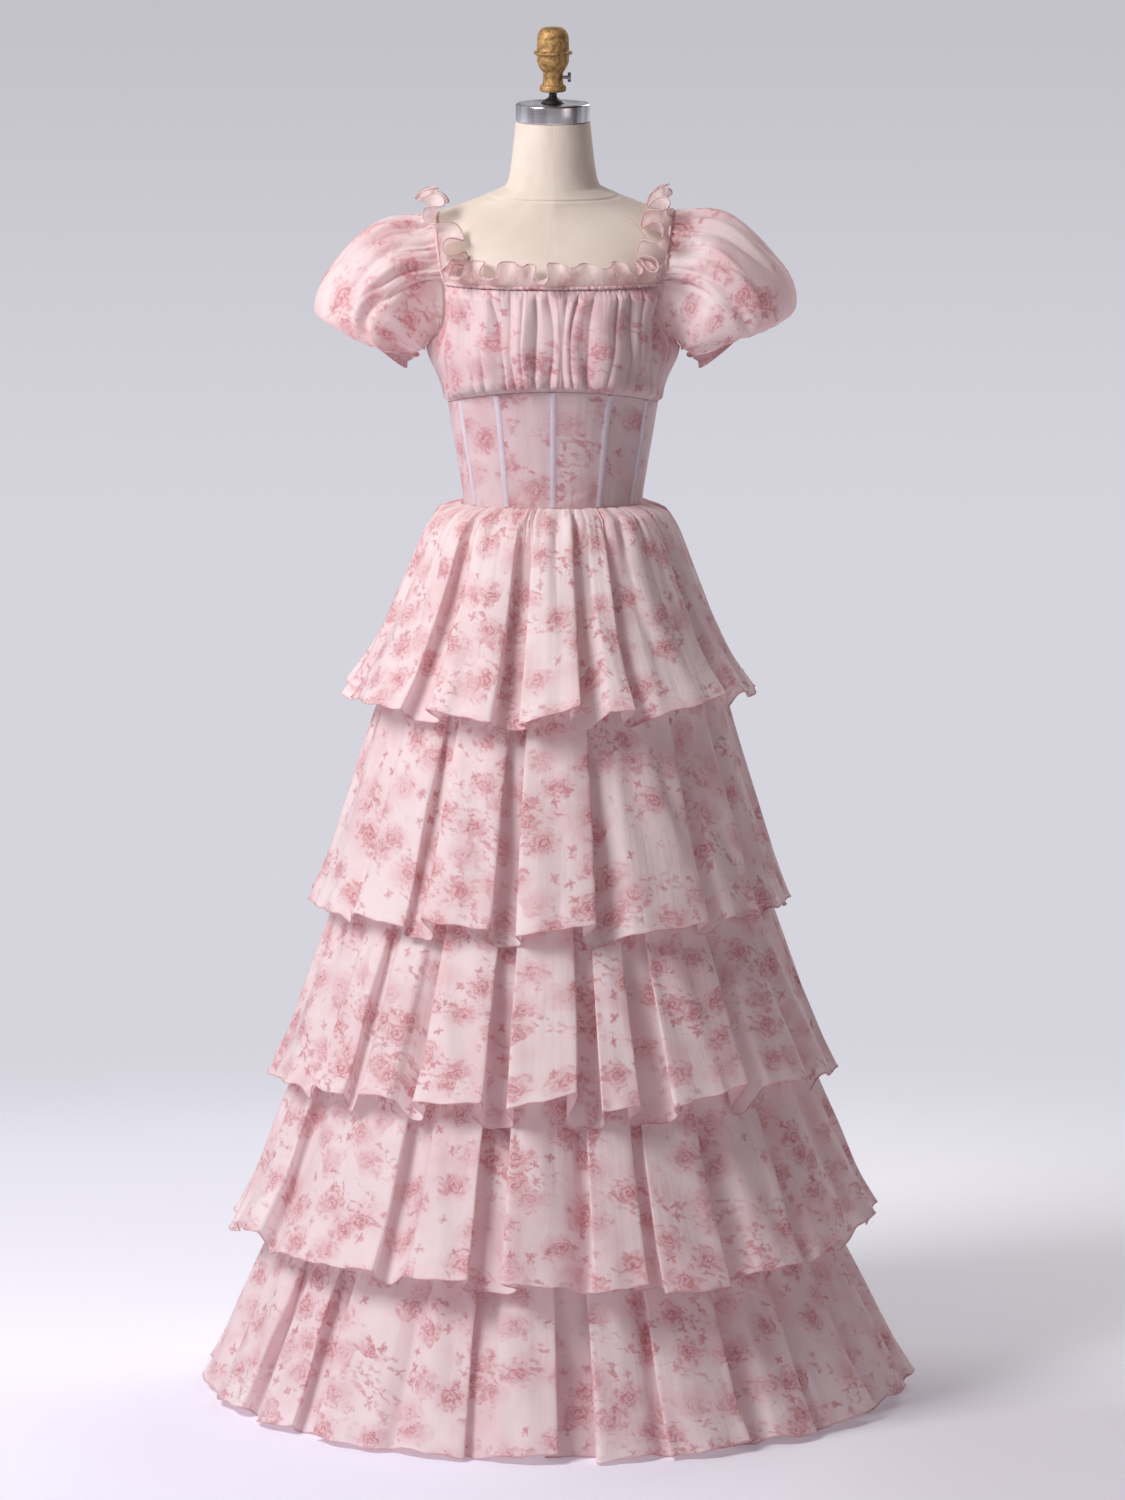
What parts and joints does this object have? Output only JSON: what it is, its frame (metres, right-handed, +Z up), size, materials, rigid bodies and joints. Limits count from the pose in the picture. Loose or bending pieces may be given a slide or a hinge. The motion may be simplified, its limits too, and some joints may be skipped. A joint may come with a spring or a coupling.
{
  "type": "prom dress on a dress form",
  "caption": "Floor-length tiered prom dress with puff sleeves, a frilled square neck, gathered bust and boned waist, worn by a limbless dress form on a round stand.",
  "frame": {"origin": "on the floor, at the middle of the stand's round base", "axes": "+Z up along the stand; the dress's front faces -Y; +X is the wearer's left"},
  "size_m": [0.895, 0.9025, 1.741],
  "materials": {
    "organza": "printed_organza",
    "boning": "satin_ribbon",
    "linen": "linen_cover",
    "steel": "polished",
    "brass": "aged",
    "black_steel": "satin_black",
    "zip_coil": "woven_tape_and_coil"
  },
  "bodies": {
    "stand": {"stand_base": "black_steel", "stand_column": "black_steel", "stand_collar": "steel"},
    "pole": {"stand_pole": "steel"},
    "form": {"bone_centre": "boning", "bone_front_left": "boning", "bone_front_right": "boning", "bone_side_left": "boning", "bone_side_right": "boning", "bust_back_left": "organza", "bust_back_right": "organza", "bust_front": "organza", "corset_back_left": "organza", "corset_back_right": "organza", "corset_centre_left": "organza", "corset_centre_right": "organza", "corset_side_front_left": "organza", "corset_side_front_right": "organza", "corset_side_left": "organza", "corset_side_right": "organza", "cuff_left": "organza", "cuff_right": "organza", "finial": "brass", "finial_boss": "black_steel", "form_flange": "black_steel", "form_torso": "linen", "foundation_back": "organza", "foundation_front": "organza", "frill_back_left": "organza", "frill_back_right": "organza", "frill_front": "organza", "frill_left": "organza", "frill_right": "organza", "neck_cap": "steel", "neck_casing": "organza", "sleeve_left": "organza", "sleeve_right": "organza", "tier_1_back": "organza", "tier_1_front": "organza", "tier_2_back": "organza", "tier_2_front": "organza", "tier_3_back": "organza", "tier_3_front": "organza", "tier_4_back": "organza", "tier_4_front": "organza", "tier_5_back": "organza", "tier_5_front": "organza", "zip_chain": "zip_coil", "zip_slider": "brass"},
    "screw": {"thumb_screw": "steel"},
    "pull": {"zip_pull": "brass"}
  },
  "joints": [
    {"name": "height_slide", "type": "slide", "parent": "stand", "child": "pole", "axis": [0, 0, 1], "range_m": [0, 0.12]},
    {"name": "form_swivel", "type": "hinge", "parent": "pole", "child": "form", "pos_m": [0, 0, 0.856], "axis": [0, 0, 1], "continuous": true},
    {"name": "screw_turn", "type": "hinge", "parent": "form", "child": "screw", "pos_m": [0.0125, 0, 1.6775], "axis": [1, 0, 0], "continuous": true},
    {"name": "pull_swing", "type": "hinge", "parent": "form", "child": "pull", "pos_m": [0, 0.11238, 1.4234], "axis": [1, 0, 0], "range_deg": [0, 120]}
  ]
}
